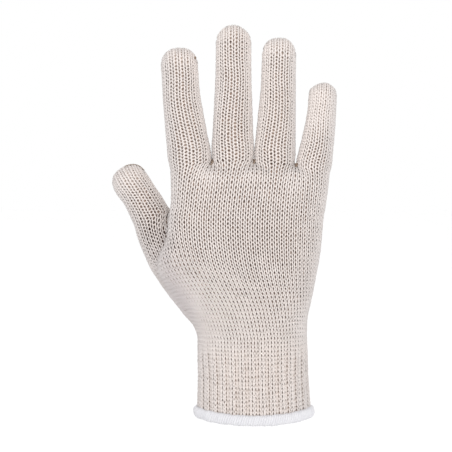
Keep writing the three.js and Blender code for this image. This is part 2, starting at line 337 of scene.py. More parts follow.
def cuffRing(height):
    # One course of the cuff: an oval that opens towards the hem, whose front and back dip with it.
    up = (height - cuffBase) / glove["cuffHeight"]
    inCuff = np.clip(up, 0, 1)
    opening = through(inCuff, cuffSections["up"], cuffSections["open"])
    mouth = [glove[k] - glove["hemThickness"] / 2 + glove["wall"] / 2 for k in ("hemWidth", "hemDepth")]
    plain = [mix(glove["cuffWaist"][k], glove["wrist"][k], up) for k in (0, 1)]
    wide, deep = [mix(plain[k], mouth[k], opening) / 2 for k in (0, 1)]
    shift = handSections["shift"][0] * glove["palm"][0] * up
    squareness = mix(2, glove["squareness"], inCuff)
    x, y = oval(shift, wide, deep, squareness, (np.arange(waleCount) + 0.5) / waleCount)
    dip = glove["hemSag"] * np.minimum(1, (y / deep) ** 2) * (1 - inCuff)
    return np.stack([x, y, height - dip], -1)


def palmRing(height, shares):
    shift, wide, deep = palmSize(height)
    out = through(height, thumbFold["height"], thumbFold["out"])
    x, y = oval(shift, wide, deep, glove["squareness"], shares, out)
    return np.stack([x, y - foldOver(x - shift, height, wide)[1], np.full(len(shares), height)], -1)


ringTurns = np.radians(-90 + (np.arange(knit["fingerWales"]) + 0.5) * 360 / knit["fingerWales"])


def thumbRing(along, turns):
    x, y, wide, deep = thumbPlace(along)
    across = (x + wide * np.sin(turns))[:, None] * thumbAcross
    deepwards = (y - deep * np.cos(turns))[:, None] * thumbThrough
    return thumbStart + thumbWay * along * thumbLength + across + deepwards


def fingerRing(f, height):
    # A finger's course: its wales wander a little round it between the crotch and the tip.
    along, x, y, wide, deep = fingerPlace(f, height)
    steady = ease(along / 0.15) * (1 - ease((along - 0.6) / 0.2))
    turns = ringTurns + math.radians(knit["wander"]) * math.sin(8 * along + f["sway"]) * steady
    beside = fingerPlace(f, height + 1)[1] - fingerPlace(f, height - 1)[1]
    side = wide * np.sin(turns)
    return np.stack([x + side, y - deep * np.cos(turns), height - side * beside / 2], -1)


def tipRings(centre, across, deepwards, way, wide, deep, height, count):
    # An envelope-like tip: each front wale runs over the top and meets the back one along a ridge.
    # The courses are arcs that gather at the two ends of the ridge.
    quarter, power = np.arange(1, count + spare + 1) / (count + 0.5) * np.pi / 2, 2 / tipFullness
    side = np.sin(ringTurns)
    rise = (1 - np.abs(side) ** tipFullness) ** (1 / tipFullness)
    y = np.outer(signedPower(np.cos(quarter), power), -np.cos(ringTurns) * deep)
    z = np.outer(np.abs(np.sin(quarter)) ** power, rise * height)
    x = np.broadcast_to(side * wide, y.shape)
    return centre + x[..., None] * across + y[..., None] * deepwards + z[..., None] * way


def ringNeighbours(rowTotal):
    # For each node, the columns before and after it in its own ring: hand, then palm and thumb, then fingers.
    rings = [(0, np.arange(waleCount)), (thumbRow, palmColumns), (thumbRow, thumbColumns)]
    rings += [(fingerRow, columns) for columns in fingerColumns]
    before, after = np.empty((2, rowTotal, waleCount), int)
    for first, columns in rings:
        before[first:, columns] = np.roll(columns, 1)
        after[first:, columns] = np.roll(columns, -1)
    return before[..., None], after[..., None]


def relax(grid, free, field, rounds, strength=0.6):
    # Evens out the stitches: each free node moves towards its four neighbours, then onto the surface.
    before, after = ringNeighbours(len(grid))
    for _ in range(rounds):
        beside = np.take_along_axis(grid, before, 1) + np.take_along_axis(grid, after, 1)
        mean = (beside[1:-1] + grid[:-2] + grid[2:]) / 4
        moved = mix(grid[1:-1], mean, strength)
        grid[1:-1][free] = seat(moved[free], field, 1)
    return grid


def leastOf(fields):
    return lambda p: np.min([field(p) for field in fields], axis=0)


def knitStall(grid, columns, first, courses, ringAt, tip):
    # Lays a stall's courses and tip into the grid. ringAt gives the ring at a share of the courses' height.
    for row in range(courses):
        grid[first + row, columns] = ringAt((row + 1) / courses)
    end = first + courses + len(tip)
    grid[first + courses : end, columns] = tip
    return first, end - spare


def knitGrid():
    rowTotal = fingerRow + knit["rowsAbove"]
    grid = np.full((rowTotal, waleCount, 3), np.nan)
    # The cuff, and two rows below it inside the hem
    for row in range(firstHandRow):
        grid[row] = cuffRing(cuffBase + (row - spare - 0.5) * glove["cuffHeight"] / (cuffRows - 1))
    # The heel of the hand, where the palm's and the thumb's wales part
    palmField, thumbField = distanceTo(palmBody), distanceTo(thumbBody)
    course = (knit["thumbCrotchHeight"] - handBase) / heelRows
    for row in range(firstHandRow, thumbRow):
        height = handBase + (row - firstHandRow + 0.5) * course
        up = (row - firstHandRow) / (heelRows - 1)
        parted = ease((up - 0.2) / 0.8)
        grid[row, palmColumns] = palmRing(height, ringShares(palmColumns, parted))
        inner = 90 * ease((up - 0.3) / 0.7)
        turns = np.radians(-90 + (np.arange(half) + 0.5) / half * (90 + inner))
        turns = np.r_[turns, np.radians(180) - turns[::-1]]
        along = mix(thumb["footAlong"], thumb["crotchAlong"], up)
        low = palmRing(height, ringShares(thumbColumns, 0))
        grid[row, thumbColumns] = mix(low, thumbRing(along, turns), parted)
    joint = blendOf(palmField, thumbField, knit["thumbBlend"])
    heel = slice(firstHandRow + 1, thumbRow - 1)
    grid[heel] = seat(grid[heel], joint)
    # The palm above the thumb, whose wales gather into four fingers, and the fingers themselves
    palm = slice(thumbRow, fingerRow - 1)
    top = fingerSections["along"][-1]
    for f, columns in zip(fingers.values(), fingerColumns):
        crotch = knuckleHeight + f["crotch"]
        shares = ringShares(columns, 1)
        for row in range(palmRows):
            height = mix(knit["thumbCrotchHeight"] - course / 2, crotch, (row + 1) / palmRows)
            gathered = ease((height - crotch + knit["fan"]) / knit["fan"])
            grid[thumbRow + row, columns] = mix(palmRing(height, shares), fingerRing(f, height), gathered)
        joint = blendOf(palmField, distanceTo(fingerBody(f)), knit["fingerBlend"])
        grid[palm, columns] = seat(grid[palm, columns], joint)
        height = crotch + top * f["length"]
        _, x, y, wide, deep = fingerPlace(f, height)
        tilt = (x - fingerPlace(f, height - 2)[1]) / 2
        centre, across, deepwards, way = np.array([[x, y, height], [1, 0, -tilt], [0, 1, 0], [tilt, 0.1, 1]])
        count = round(knit["tipCourses"] * f["length"] / fingers["middle"]["length"])
        tip = tipRings(centre, across, deepwards, way, wide, deep, f["length"] * (1 - top), count)
        courses = round(f["length"] * top / knit["fingerCourse"])
        ringAt = lambda share: fingerRing(f, crotch + share * top * f["length"])
        f["rows"] = knitStall(grid, columns, fingerRow, courses, ringAt, tip)
    # The thumb
    x, y, wide, deep = thumbPlace(thumbTop)
    centre = thumbStart + thumbWay * thumbTop * thumbLength + x * thumbAcross + y * thumbThrough
    height = (1 - thumbTop) * thumbLength
    tip = tipRings(centre, thumbAcross, thumbThrough, thumbWay, wide, deep, height, knit["tipCourses"])
    courses = round((thumbTop - thumb["crotchAlong"]) * thumbLength / knit["fingerCourse"])
    ringAt = lambda share: thumbRing(mix(thumb["crotchAlong"], thumbTop, share), ringTurns)
    thumb["rows"] = knitStall(grid, thumbColumns, thumbRow, courses, ringAt, tip)
    # The hand is evened out as one piece of cloth, from above the cuff to the first courses of the fingers
    free = np.zeros((rowTotal, waleCount), bool)
    free[firstHandRow + 1 : thumbRow] = True
    free[palm, palmColumns] = True
    fingerField = leastOf([distanceTo(fingerBody(f)) for f in fingers.values()])
    whole = blendOf(blendOf(palmField, fingerField, knit["fingerBlend"]), thumbField, knit["thumbBlend"])
    return relax(grid, free[1:-1], whole, knit["evenings"])


def ripple(points):
    # Slow unevenness over the cloth, about -1 to 1: three waves of different directions and lengths.
    x, y, z = points[..., 0], points[..., 1], points[..., 2]
    first = np.sin(0.21 * x + 0.13 * z)
    second = np.sin(0.11 * z - 0.34 * x + 1.7 + 0.1 * y)
    third = np.sin(0.43 * z + 0.17 * x + 4)
    return (first + second + third) / 3


grid = knitGrid()
grid[spare + 2 :, :, 2] += knit["waver"][0] * ripple(grid[spare + 2 :] * knit["waver"][1])
print("knit grid worked out:", grid.shape, "to row", fingers["middle"]["rows"])


# A ring group is a run of courses that share one closed ring of wales. In its last few courses, as many
# as closing says, the yarn is thicker and closes the cloth.
def ringGroup(first, last, columns, closing=0):
    rows = grid[first - spare : last + spare, columns]
    across = np.roll(rows, -1, 1) - np.roll(rows, 1, 1)
    outward = unit(np.cross(across, np.gradient(rows, axis=0)))
    group = {"first": first, "last": last, "columns": columns, "closing": closing}
    return {**group, "points": rows, "outward": outward, "waleWidth": np.linalg.norm(across, axis=-1) / 2}


def rowsOf(group, first, last):
    # Where a run of courses lies in its group's arrays.
    return slice(first - group["first"] + spare, last - group["first"] + spare)


def curveWeights(t):
    # The four weights of a Catmull-Rom curve between its second and third points.
    return [
        0.5 * (-t + 2 * t**2 - t**3),
        0.5 * (2 - 5 * t**2 + 3 * t**3),
        0.5 * (t + 4 * t**2 - 3 * t**3),
        0.5 * (-(t**2) + t**3),
    ]


def closedness(group, row):
    # 0 where the knit is open, rising to 1 in the courses that close a tip.
    fade = max(group["closing"] * 0.5, 2)
    return ease((row - group["last"] + group["closing"]) / fade) * (group["closing"] > 0)


def patchwork(points, patches):
    # The sum of soft round patches: each has its x, z, reach and strength.
    return sum(
        strength * np.exp(-((points[..., 0] - x) ** 2 + (points[..., 2] - z) ** 2) / reach**2)
        for x, z, reach, strength in patches
    )


def atEdge(outward):
    # 0 where the cloth faces front or back, rising to 1 along the glove's left and right edges.
    return ease((np.abs(outward[..., 0]) - 0.6) / 0.35)


def paintedShadeAt(point, outward):
    # Painted shade: 0 over most of the cloth, rising to 1 on the glove's outer sides and on the tips' tops.
    sideways = outward[..., 0] * np.clip((point[..., 0] - paintedEdgeShade["middle"]) / paintedEdgeShade["reach"], -1, 1)
    return ease(np.maximum(sideways, outward[..., 2] * 1.1 - paintedEdgeShade["top"]))


def onSurface(group, row, column):
    # Points and outward directions at fractional rows and columns, smooth both ways, round the ring.
    count = len(group["columns"])
    rowBase, columnBase = np.floor(row).astype(int), np.floor(column).astype(int)
    rowWeights, columnWeights = curveWeights(row - rowBase), curveWeights(column - columnBase)
    limit = len(group["points"]) - 1
    point, outward = 0, 0
    for i in range(4):
        for j in range(4):
            weight = (rowWeights[i] * columnWeights[j])[..., None]
            r = np.clip(rowBase + i - 1 - group["first"] + spare, 0, limit)
            c = (columnBase + j - 1) % count
            point = point + weight * group["points"][r, c]
            outward = outward + weight * group["outward"][r, c]
    return point, unit(outward)


# Patches of the cloth that are stretched open or left slack: x, z, reach, and how much thicker the yarn is
stretchPatches = [
    (-62, 112, 15, -0.22),  # the thumb's root, beside the fold
    (-76, 150, 15, 0.15),
    (-2, 104, 34, -0.12),
    (-45, 212, 16, 0.08),  # the fingers, looser in their upper parts
    (-42, 180, 18, 0.07),
    (-13, 226, 15, 0.07),
    (-14, 190, 18, 0.02),
    (16, 215, 16, 0.10),
    (13, 182, 18, 0.05),
    (-38, 161, 9, 0.13),  # the fingers' feet
    (-13, 164, 9, 0.13),
    (13, 163, 9, 0.14),
    (36, 158, 9, 0.12),
    (2, 76, 18, 0.07),
    (-50, 82, 13, -0.10),  # the heel, under the thumb
    (-38, 60, 10, -0.07),
    (-30, 149, 6, 0.15),  # under the crotches
    (-3, 149, 7, 0.15),
    (24, 145, 7, 0.15),
    (42, 130, 12, 0.05),
]
# Patches where the painted shadow that shows through the knit is paler, or darker where the last number is
# negative
palePatches = [
    (-2, 104, 36, -0.6),
    (-60, 112, 18, -0.9),
    (-52, 95, 12, 0.5),
    (-47, 77, 14, 0.7),
    (-42, 62, 12, 0.6),
    (36, 60, 14, 0.5),
    (-43, 195, 28, 0.3),
    (17, 200, 26, 0.3),
    (-76, 150, 18, 0.3),
]

# The yarn's loop, in shares of a wale and of a course, except for its lengths in millimetres
yarn = {
    "radius": 0.54,
    "filled": 0.29,  # how much thicker it is where a tip closes
    "narrowest": 0.82,  # how thin it is pressed where wales crowd
    "easyWale": 2.9,  # the width of a wale in which it isn't pressed
    "sides": 5,
    "samples": 10,
    "reach": 0.76,  # how far a loop's head and foot stand above and below its course
    "slant": 0.19,  # how far its two legs lean
    "pinch": (0.03, 0.075),  # how far they stand together, in wide and in crowded wales
    "weave": 0.42,  # how far legs stand out, and heads lie back, from the yarn's middle depth
    "edge": (0.12, 0.4),  # how much thicker and how much flatter it lies along the glove's edges
    "flat": 1.5,  # power of the pressing by which crowded wales lie flatter
    "unevenness": 0.075,
    "thickness": 0.055,
    "stray": (0.012, 0.045, 0.05),  # how far a stitch strays across, up and, in millimetres, into the cloth
}
# Painted shade: the yarn's colour is darkened to a cool grey on the glove's outer sides and its tips' tops
paintedEdgeShade = {
    "middle": -3,  # the x from which the sides are measured
    "reach": 40,
    "top": 0.35,
    "colour": (0.87, 0.885, 0.9, 1),
}
# the cuff's furrows get painted shade: their yarn is darkened towards the painted shade colour
cuffRibs = {
    "wales": 3,
    "relief": 0.8,
    "paintedShade": 0.5,  # how much darker the furrows are
    "fade": 9,  # courses over which the ribs come in
    "full": 0.27,  # how much thicker the cuff's yarn is, and how much thinner on the ribs' crests
    "open": 0.38,
    "pale": 0.5,
    "uneven": 1.5,
}


def ribbing(row):
    # How full the ribs are at a course: none at the cuff's top, all of it a few courses below.
    return ease((firstHandRow + 1 - row) / cuffRibs["fade"])


def ribRelief(row, column):
    # The cuff's mock ribs: of every three wales, two stand out and one lies back, fading out above the cuff.
    return cuffRibs["relief"] * np.cos(2 * np.pi * (column - 0.5) / cuffRibs["wales"]) * ribbing(row)


def loopPaths(group, first, last):
    # One closed yarn a course. Within a wale, with t going once round: the yarn runs across by
    # t / 2 pi + slant x sin 2t + pinch x sin t, up by -reach x cos t, and into the cloth by weave x cos 2t.
    # Returns its points, outward directions, how much painted shade it gets where it is tucked deep into the
    # cloth, in the cuff's furrows and on the glove's outer sides, and its thickness.
    count, samples = len(group["columns"]), yarn["samples"]
    t = np.tile(np.arange(samples) / samples * 2 * np.pi, count)
    wale = np.repeat(np.arange(count), samples)
    courses = np.arange(first, last)[:, None]
    beside = np.where(t < np.pi, wale - 1, wale + 1) % count
    apart = np.abs(t / (2 * np.pi) - 0.5)

    def spread(size):
        # One random number a stitch, which runs evenly over into the next stitch's.
        drawn = dice.normal(0, size, (last - first, count))
        return mix(drawn[:, wale], drawn[:, beside], apart)

    reach = yarn["reach"] * (1 + spread(yarn["unevenness"]))
    slant = yarn["slant"] * (1 + spread(yarn["unevenness"] * 2))
    width = group["waleWidth"][rowsOf(group, first, last)]
    pressed = np.clip(width / yarn["easyWale"], yarn["narrowest"], 1).repeat(samples, 1)
    pinch = mix(*yarn["pinch"], (1 - pressed) / (1 - yarn["narrowest"]))
    aside, aloft, inward = yarn["stray"]
    column = wale - 0.5 + t / (2 * np.pi) + slant * np.sin(2 * t) + pinch * np.sin(t) + spread(aside)
    row = courses - reach * np.cos(t) + spread(aloft) * (1 + cuffRibs["uneven"] * ribbing(courses))
    point, outward = onSurface(group, row, column)
    flat = pressed ** yarn["flat"] * (1 - yarn["edge"][1] * atEdge(outward))
    depth = yarn["radius"] + yarn["weave"] * flat * (1 + np.cos(2 * t)) + spread(inward)
    rib = ribRelief(row, group["columns"][0] + column)
    raised = rib / cuffRibs["relief"]
    # painted shade: darker where the yarn lies back in the cloth, and in the cuff's furrows
    paintedShading = (0.5 + 0.5 * np.cos(2 * t)) * flat + (ribbing(row) - raised) / 2 * cuffRibs["paintedShade"]
    thickness = 1 + yarn["filled"] * closedness(group, row) + yarn["thickness"] * ripple(point)
    thickness += patchwork(point, stretchPatches) + yarn["edge"][0] * atEdge(outward)
    thickness += cuffRibs["full"] * ribbing(row) - cuffRibs["open"] * np.maximum(raised, 0) ** 2
    thickness = yarn["radius"] * pressed * thickness * (1 + dice.normal(0, yarn["thickness"], row.shape))
    looks = {"paintedShading": paintedShading, "paintedShade": paintedShadeAt(point, outward)}
    return point - outward * (depth - rib)[..., None], outward, looks, thickness


def tubesAlong(paths, outward, radius, sides):
    # Closed tubes: at each point a ring of the given radius, square to the path.
    along = unit(np.roll(paths, -1, 1) - np.roll(paths, 1, 1))
    aside = unit(np.cross(along, outward))
    up = np.cross(aside, along)
    turn = (np.arange(sides) + 0.5) / sides * 2 * np.pi
    ring = np.cos(turn)[:, None] * up[:, :, None] + np.sin(turn)[:, None] * aside[:, :, None]
    return paths[:, :, None] + ring * np.asarray(radius)[..., None, None]


def gridFaces(lines, steps, sides):
    # Four-sided faces of closed tubes, each with its steps round a closed path and its sides.
    line, step, side = np.meshgrid(np.arange(lines), np.arange(steps), np.arange(sides), indexing="ij")
    corner = lambda s, k: (line * steps + s % steps) * sides + k % sides
    quad = [corner(step, side), corner(step, side + 1), corner(step + 1, side + 1), corner(step + 1, side)]
    return np.stack(quad, -1).reshape(-1, 4)


def meshPiece(name, points, faces, material, uv=None, looks=None):
    # points in millimetres; uv one pair a face corner; looks named arrays with one number a point
    mesh = bpy.data.meshes.new(name)
    points = np.asarray(points).reshape(-1, 3) * metre
    mesh.from_pydata(points.tolist(), [], faces.tolist(), shade_flat=False)
    if uv is not None:
        mesh.uv_layers.new(name="UVMap").data.foreach_set("uv", uv.astype(np.float32).ravel())
    for look, values in (looks or {}).items():
        layer = mesh.attributes.new(look, "FLOAT", "POINT")
        layer.data.foreach_set("value", np.asarray(values, np.float32).ravel())
    mesh.validate()
    piece = bpy.data.objects.new(name, mesh)
    scene.collection.objects.link(piece)
    for one in material if isinstance(material, list) else [material]:
        mesh.materials.append(one)
    return piece


def stitchPiece(name, group, first, last):
    paths, outward, looks, thickness = loopPaths(group, first, last)
    points = tubesAlong(paths, outward, thickness, yarn["sides"])
    lines, steps = paths.shape[:2]
    faces = gridFaces(lines, steps, yarn["sides"])
    across = (faces % yarn["sides"]) / yarn["sides"]
    across[:, 1:3] = np.where(across[:, 1:3] == 0, 1, across[:, 1:3])
    alongYarn = (faces // yarn["sides"]) % steps
    alongYarn = np.where((alongYarn == 0) & (alongYarn.max(1, keepdims=True) > 1), steps, alongYarn)
    uv = np.stack([alongYarn / yarn["samples"], across], -1)
    looks = {look: np.broadcast_to(values[:, :, None], points.shape[:3]) for look, values in looks.items()}
    print(name, "stitches", lines * steps // yarn["samples"], "triangles", 2 * len(faces))
    return meshPiece(name, points, faces, cotton, uv, looks)


# Materials. Shader maths is written with a small class that wraps a socket.
class Wire:
    def __init__(self, tree, socket):
        self.tree, self.socket = tree, socket

    def maths(self, operation, *others):
        return self.tree.node("Math", {"operation": operation}, dict(enumerate([self, *others])))

    def __add__(self, other):
        return self.maths("ADD", other)

    def __mul__(self, other):
        return self.maths("MULTIPLY", other)

    def __sub__(self, other):
        return self.maths("SUBTRACT", other)

    def __rsub__(self, other):
        return self.tree.node("Math", {"operation": "SUBTRACT"}, {0: other, 1: self})

    def __pow__(self, other):
        return self.maths("POWER", other)

    __radd__, __rmul__ = __add__, __mul__


class Finish:
    # One material: a Principled shader and the nodes that feed it.
    def __init__(self, name, settings):
        self.material = bpy.data.materials.new(name)
        self.material.use_nodes = True
        self.nodes = self.material.node_tree.nodes
        self.shader = self.nodes["Principled BSDF"]
        for socket, value in settings.items():
            self.shader.inputs[socket].default_value = value

    def node(self, kind, settings, sockets, output=0):
        made = self.nodes.new("ShaderNode" + kind)
        for key, value in settings.items():
            setattr(made, key, value)
        for key, value in sockets.items():
            self.feed(made.inputs[key], value)
        return Wire(self, made.outputs[output])

    def feed(self, socket, value):
        if isinstance(value, Wire):
            self.material.node_tree.links.new(value.socket, socket)
        else:
            socket.default_value = value

    def set(self, **sockets):
        for key, value in sockets.items():
            self.feed(self.shader.inputs[key.replace("_", " ")], value)
        return self.material

    def noise(self, scale, detail=2.0, roughness=0.5):
        sockets = {"Scale": scale, "Detail": detail, "Roughness": roughness}
        return self.node("TexNoise", {}, {"Vector": self.node("TexCoord", {}, {}, "Object"), **sockets})

    def blend(self, share, first, second, way="MIX"):
        # the Mix node's colour sockets are its seventh and eighth
        return self.node("Mix", {"data_type": "RGBA", "blend_type": way}, {0: share, 6: first, 7: second}, 2)

    def bump(self, height, depth, strength=1.0, **under):
        return self.node("Bump", {}, {"Strength": strength, "Distance": depth, "Height": height, **under})

    def attribute(self, name):
        return self.node("Attribute", {"attribute_name": name}, {}, "Fac")

    def parts(self, coordinate):
        # The x, y and z of a coordinate, each a wire of its own.
        return [Wire(self, out) for out in self.node("SeparateXYZ", {}, {0: coordinate}).socket.node.outputs]

    def alongAndRound(self):
        return self.parts(self.node("UVMap", {"uv_map": "UVMap"}, {}))[:2]


cottonLook = {
    "cream": (0.715, 0.645, 0.604, 1),
    "pale": (0.762, 0.71, 0.685, 1),
    "clouds": 38.0,  # scales of the noise: clouds of colour, flecks and fuzz
    "flecks": 900.0,
    "fuzz": 2400.0,
    "fleckShare": 0.35,
    # the painted shade colour, and how much of it the yarn takes where it lies back in the cloth
    "paintedShadeColour": (0.54, 0.44, 0.37, 1),
    "paintedShadeShare": 0.4,
    "twistTurns": 1.5,
    "twistDepth": 0.0002,
    "shadow": ((-0.047, 0.077), 0.010, 0.030, (0.93, 0.92, 0.95, 1)),  # at, half width, half length, colour
    "shadowLean": (0.95, 0.31),
    "fuzzDepth": 0.00010,
}
# the brown shell behind the knit is painted shadow seen through the holes; the furrow colour is painted shade
backingLook = {
    "deepest": (0.05, 0.03, 0.025, 1),
    "dark": (0.13, 0.08, 0.062, 1),
    "brown": (0.50, 0.37, 0.30, 1),
    "paintedFurrowShade": (0.45, 0.37, 0.30, 1),
    "purlDepth": 0.0006,
}
hemLook = {"grey": (0.59, 0.588, 0.622, 1), "white": (0.69, 0.688, 0.705, 1), "fuzzDepth": 0.00015}


def cottonYarn(name, cream, pale):
    finish = Finish(name, {"Roughness": 0.92, "Sheen Weight": 0.08, "Sheen Roughness": 0.5})
    finish.shader.inputs["Specular IOR Level"].default_value = 0.2
    look = cottonLook
    colour = finish.blend(finish.noise(look["clouds"], 3.0), cream, pale)
    colour = finish.blend(finish.noise(look["flecks"], 3.0, 0.6) * look["fleckShare"], colour, pale)
    # painted shade where the yarn lies back deep in the cloth and in the cuff's furrows
    colour = finish.blend(finish.attribute("paintedShading") ** 1.5 * look["paintedShadeShare"], colour, look["paintedShadeColour"])
    # painted shade on the outer sides and the tips' tops
    colour = finish.blend(finish.attribute("paintedShade"), colour, paintedEdgeShade["colour"], "MULTIPLY")
    # the heel's thumb side lies in a soft cool shadow: a long patch along the outline there
    at, wide, long, shadow = look["shadow"]
    x, _, z = finish.parts(finish.node("TexCoord", {}, {}, "Object"))
    x, z = x - at[0], z - at[1]
    straight, slanted = look["shadowLean"]
    across, along = (x * straight + z * slanted) * (1 / wide), (x * slanted - z * straight) * (1 / long)
    away = ((across * across + along * along) * -1.0).maths("EXPONENT")
    colour = finish.blend(away, colour, shadow, "MULTIPLY")
    # twisted strands: slanting ridges along the yarn
    u, v = finish.alongAndRound()
    twist = ((u * look["twistTurns"] + v) * (4 * math.pi)).maths("SINE")
    bump = finish.bump(twist, look["twistDepth"], 0.8)
    bump = finish.bump(finish.noise(look["fuzz"], 4.0, 0.7), look["fuzzDepth"], Normal=bump)
    return finish.set(Base_Color=colour, Normal=bump)


def backingOutside():
    # What shows through the knit's holes: a painted brown shadow, paler or darker as its point attribute
    # says.
    finish = Finish("painted hole shadow", {"Roughness": 1.0})
    share = (finish.noise(330.0) - 0.5) * 2.6 + 0.5
    colour = finish.blend(share, backingLook["dark"], backingLook["brown"])
    pale = finish.attribute("paintedShading")
    colour = finish.blend(pale * -1.0, colour, backingLook["deepest"])
    return finish.set(Base_Color=finish.blend(pale * 0.85, colour, cottonLook["paintedShadeColour"]))


def backingInside():
    # The purl side: rows of short bumps, one for each stitch, with painted shade in the furrows between them.
    finish = Finish("cotton purl side", {"Roughness": 0.95, "Sheen Weight": 0.2})
    u, v = finish.alongAndRound()
    across = (u * (2 * math.pi)).maths("SINE")
    rows = ((v + across * 0.22) * (4 * math.pi)).maths("SINE")
    colour = finish.blend(rows * 0.5 + 0.5, backingLook["paintedFurrowShade"], cottonLook["cream"])
    return finish.set(Base_Color=colour, Normal=finish.bump(rows, backingLook["purlDepth"], 0.9))


def hemThread():
    finish = Finish("hem thread", {"Roughness": 0.9, "Sheen Weight": 0.1, "Sheen Roughness": 0.5})
    colour = finish.blend(finish.noise(300.0, 4.0), hemLook["grey"], hemLook["white"])
    bump = finish.bump(finish.noise(1800.0, 5.0, 0.75), hemLook["fuzzDepth"])
    return finish.set(Base_Color=colour, Normal=bump)


cotton = cottonYarn("cotton yarn", cottonLook["cream"], cottonLook["pale"])
knitInside = [backingOutside(), backingInside()]
white = hemThread()

# The stitches, ring by ring
handSplit = firstHandRow + knit["heelCourses"]
lower = ringGroup(spare, thumbRow, np.arange(waleCount))
upper = ringGroup(thumbRow, fingerRow, palmColumns)
stalls = {
    name + "_stall": ringGroup(*f["rows"], columns, f["closing"])
    for (name, f), columns in zip(fingers.items(), fingerColumns)
}
stalls["thumb_stall"] = ringGroup(*thumb["rows"], thumbColumns, thumb["closing"])


def dress(piece, slotName, *nodes):
    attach(piece, "root")
    if nodes:
        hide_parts(*nodes)
    return piece


runs = {  # the courses of each piece of stitches, and the node that it stands for
    "cuff": (lower, spare, firstHandRow, "rib_cuff"),
    "heel": (lower, firstHandRow, handSplit, "hand"),
    "palm": (lower, handSplit, thumbRow, "hand"),
    "knuckle": (upper, thumbRow, fingerRow, "hand"),
}
runs.update({name: (group, group["first"], group["last"], name) for name, group in stalls.items()})
for name, (group, first, last, node) in runs.items():
    dress(stitchPiece(name + "_stitches", group, first, last), "cotton_knit", node)

# The knit's inner face: a thin closed shell behind the stitches. Its outer side is painted shadow that shows
# through the holes, its inner side the purl side.
backing = {
    "depth": 1.6,
    "lift": 0.35,  # how much nearer it lies to the stitches where a tip closes
    "thickness": 0.6,
    "edgePale": 0.7,
}


def backingRun(group, first, last):
    # The shell's points behind a run of courses, and their wale, course and the paleness of its painted
    # shadow:
    # it is paler at a closed tip, along the edges, in the cuff and in the pale patches.
    row, column = np.meshgrid(np.arange(first, last), group["columns"], indexing="ij")
    rows, closed = rowsOf(group, first, last), closedness(group, row)
    stitches, outward = group["points"][rows], group["outward"][rows]
    depth = backing["depth"] - ribRelief(row, column) - backing["lift"] * closed
    pale = closed + backing["edgePale"] * atEdge(outward) + patchwork(stitches, palePatches)
    pale = np.clip(pale + cuffRibs["pale"] * ribbing(row), -1, 1)
    points = stitches - outward * depth[..., None]
    return points.reshape(-1, 3), np.stack([column, row, pale], -1).reshape(-1, 3)


def ringFaces(rows, count, start):
    # Quads between each row and the next, round the ring.
    here, beside = np.arange(count), np.roll(np.arange(count), -1)
    low = start + np.arange(rows - 1)[:, None] * count
    high = low + count
    return np.stack([low + here, low + beside, high + beside, high + here], -1).reshape(-1, 4)


def backingPiece(name, runs, joins=()):
    # A shell behind one or more runs of courses; joins are faces that link their rings or close a tip.
    parts, faces, start = [], [], 0
    for group, first, last in runs:
        parts.append(backingRun(group, first, last))
        faces.append(ringFaces(last - first, len(group["columns"]), start))
        start += len(parts[-1][0])
    points, places = [np.concatenate(part) for part in zip(*parts)]
    faces = np.concatenate([*faces, *joins])
    # in a face that closes a ring, the first wale counts as one past the last
    uv = places[faces][:, :, :2]
    last = uv[:, :, 0].max(1, keepdims=True)
    uv[:, :, 0] = np.where(last - uv[:, :, 0] > half, last + 1, uv[:, :, 0])
    piece = meshPiece(name, points, faces, knitInside, uv, {"paintedShading": places[:, 2]})
    shell = piece.modifiers.new("wall", "SOLIDIFY")
    shell.thickness = backing["thickness"] * metre
    shell.offset = -1
    shell.material_offset = 1
    shell.material_offset_rim = 1
    shell.use_even_offset = False
    return piece


def ridgeOf(group):
    # Quads from front to back that close a stall's last course.
    top, front = (group["last"] - group["first"]) * 2 * half, np.arange(half - 1)
    back = top + 2 * half - 1 - front
    return np.stack([top + front, top + front + 1, back - 1, back], -1)


def handJoins():
    # The seam between the heel's last ring and the palm's first, and a web at each crotch.
    count = len(palmColumns)
    start = (thumbRow - firstHandRow) * waleCount
    top = start - waleCount
    here, beside = np.arange(count), np.roll(np.arange(count), -1)
    seam = np.stack([top + palmColumns, top + palmColumns[beside], start + beside, start + here], -1)

    def web(base, wales, k):
        # The quad between two wales of the front and the two behind them.
        front, back = base + half * k, base + wales - half * k
        return [front - 1, front, back - 1, back]

    last = start + (palmRows - 1) * count
    return seam, [web(top, waleCount, 1), *[web(last, count, k) for k in (1, 2, 3)]]


handRuns = [(lower, firstHandRow, thumbRow), (upper, thumbRow, fingerRow)]
dress(backingPiece("cuff_inner_face", [(lower, spare - 1, firstHandRow + 1)]), "cotton_knit", "rib_cuff")
dress(backingPiece("hand_inner_face", handRuns, handJoins()), "cotton_knit", "hand")
for name, group in stalls.items():
    run = (group, group["first"] - 1, group["last"])
    dress(backingPiece(name + "_inner_face", [run], [ridgeOf(group)]), "cotton_knit", name)
print("inner faces made")

# Yarn that closes the knitting: drawn round each crotch, and linked over each tip
closingYarns = {
    "radius": 0.32,
    "sides": 6,
    "coilTurns": 3,
    "coilRise": 2.2,
    "coilSize": (1.0, 2.2),
    "tail": 4.4,
    # the ties' dark brown is partly the yarn's own colour and partly painted shade in the crotches
    "tieColours": ((0.24, 0.15, 0.10, 1), (0.50, 0.39, 0.31, 1)),
    "linkColours": ((0.50, 0.40, 0.32, 1), (0.66, 0.57, 0.50, 1)),
    "linkRadius": 0.3,
    "links": 12,
    "swing": 0.6,  # how far, in courses, the links zigzag
    "fingerLinks": (half + 0.7, 2 * half - 1.7, 2.2),  # first wale, last wale, courses below the tip's ridge
    "thumbLinks": (4.6, 7.9, 1.5),
    "endKnot": {"at": (-37.6, 222.4), "size": 0.55},  # where the index tip's yarn is fastened off
}


